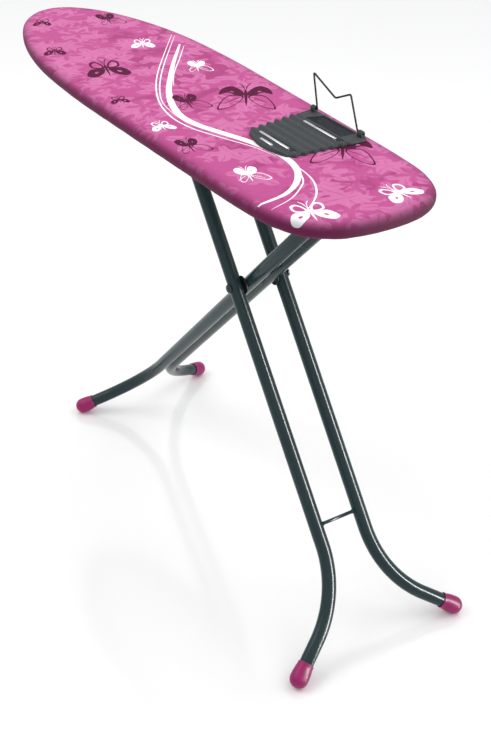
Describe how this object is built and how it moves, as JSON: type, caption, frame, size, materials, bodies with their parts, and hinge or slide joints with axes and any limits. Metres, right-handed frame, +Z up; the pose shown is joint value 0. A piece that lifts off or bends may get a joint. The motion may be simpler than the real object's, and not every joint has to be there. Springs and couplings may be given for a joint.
{
  "type": "ironing board",
  "caption": "Folding ironing board: long padded board with round nose on scissor legs of bent tube with bulb feet, ribbed iron rest mat and folding wire cord guide.",
  "frame": {"origin": "on the floor, under the centre of the whole object's box", "axes": "+Z up; X along the board, +X towards the blunt end, -X towards the nose; +Y towards the long edge with the cord guide"},
  "size_m": [1.3832, 0.3926, 0.9325],
  "materials": {
    "cover_fabric": "printed woven cotton, matt with a slight sheen",
    "foam": "soft open-cell foam",
    "panel_metal": "light grey powder coat on perforated steel",
    "zinc_metal": "zinc plated, satin",
    "strip_metal": "satin",
    "painted_tube": "glossy anthracite enamel",
    "foot_cap_plastic": "moulded magenta plastic, satin gloss",
    "grip_plastic": "moulded magenta plastic",
    "black_plastic": "moulded, satin",
    "elastic": "braided elastic",
    "mat_rubber": "ribbed heat-proof rubber, matt",
    "black_wire": "black coated spring wire, semi-gloss"
  },
  "bodies": {
    "board": {"cover": "cover_fabric", "foam_pad": "foam", "board_panel": "panel_metal", "hem_elastic": "elastic", "cord_lock": "black_plastic", "guide_rail_near": "zinc_metal", "guide_rail_far": "zinc_metal", "hinge_bracket": "zinc_metal", "hinge_axle": "zinc_metal", "axle_clip_near": "zinc_metal", "axle_clip_far": "zinc_metal", "lever_bracket": "zinc_metal", "lever_pin": "zinc_metal", "lever_spring": "zinc_metal", "iron_rest_mat": "mat_rubber", "rest_strip_far": "strip_metal", "rest_strip_near": "strip_metal", "rest_strip_short": "strip_metal", "wire_socket_left": "mat_rubber", "wire_socket_right": "mat_rubber", "rail_rivet_near_front": "zinc_metal", "rail_rivet_near_rear": "zinc_metal", "rail_rivet_far_front": "zinc_metal", "rail_rivet_far_rear": "zinc_metal", "bracket_rivet_near_front": "zinc_metal", "bracket_rivet_near_rear": "zinc_metal", "bracket_rivet_far_front": "zinc_metal", "bracket_rivet_far_rear": "zinc_metal"},
    "inner_leg": {"inner_leg_tube_near": "painted_tube", "inner_leg_tube_far": "painted_tube", "inner_leg_sleeve": "painted_tube", "inner_leg_brace_upper": "painted_tube", "inner_leg_brace_lower": "painted_tube", "inner_foot_cap_near": "foot_cap_plastic", "inner_foot_cap_far": "foot_cap_plastic", "scissor_spacer_middle": "black_plastic"},
    "outer_leg": {"outer_leg_tube_near": "painted_tube", "outer_leg_tube_far": "painted_tube", "outer_leg_crossbar": "painted_tube", "outer_leg_cross_rod": "painted_tube", "outer_foot_cap_near": "foot_cap_plastic", "outer_foot_cap_far": "foot_cap_plastic", "scissor_bolt": "zinc_metal", "scissor_nut": "zinc_metal", "scissor_spacer_near": "black_plastic", "scissor_spacer_far": "black_plastic"},
    "slide_carriage": {"slide_shoe_near": "black_plastic", "slide_shoe_far": "black_plastic"},
    "height_lever": {"notched_bar": "zinc_metal", "lever_rod": "painted_tube", "lever_grip": "grip_plastic"},
    "cord_guide": {"cord_guide_wire": "black_wire"}
  },
  "joints": [
    {"name": "leg_fold", "type": "hinge", "parent": "board", "child": "inner_leg", "pos_m": [0.44937, 0, 0.79503], "axis": [0, 1, 0], "range_deg": [0, 45.8]},
    {"name": "scissor_pivot", "type": "hinge", "parent": "inner_leg", "child": "outer_leg", "pos_m": [0.2333, 0, 0.5726], "axis": [0, 1, 0], "range_deg": [-93.6, 0]},
    {"name": "carriage_level", "type": "hinge", "parent": "outer_leg", "child": "slide_carriage", "pos_m": [0.04022, 0, 0.81603], "axis": [0, 1, 0], "range_deg": [0, 47.8]},
    {"name": "height_release", "type": "hinge", "parent": "board", "child": "height_lever", "pos_m": [0.2, 0, 0.831], "axis": [0, 1, 0], "range_deg": [0, 1.7], "stiffness_Nm_per_rad": 20, "springref_deg": -2.86},
    {"name": "cord_guide_fold", "type": "hinge", "parent": "board", "child": "cord_guide", "pos_m": [0.265, 0.14, 0.8687], "axis": [1, 0, 0], "range_deg": [0, 88]}
  ],
  "couplings": [
    {"joint": "scissor_pivot", "follows": "leg_fold", "ratio": -2.0415},
    {"joint": "carriage_level", "follows": "leg_fold", "ratio": 1.0415}
  ]
}
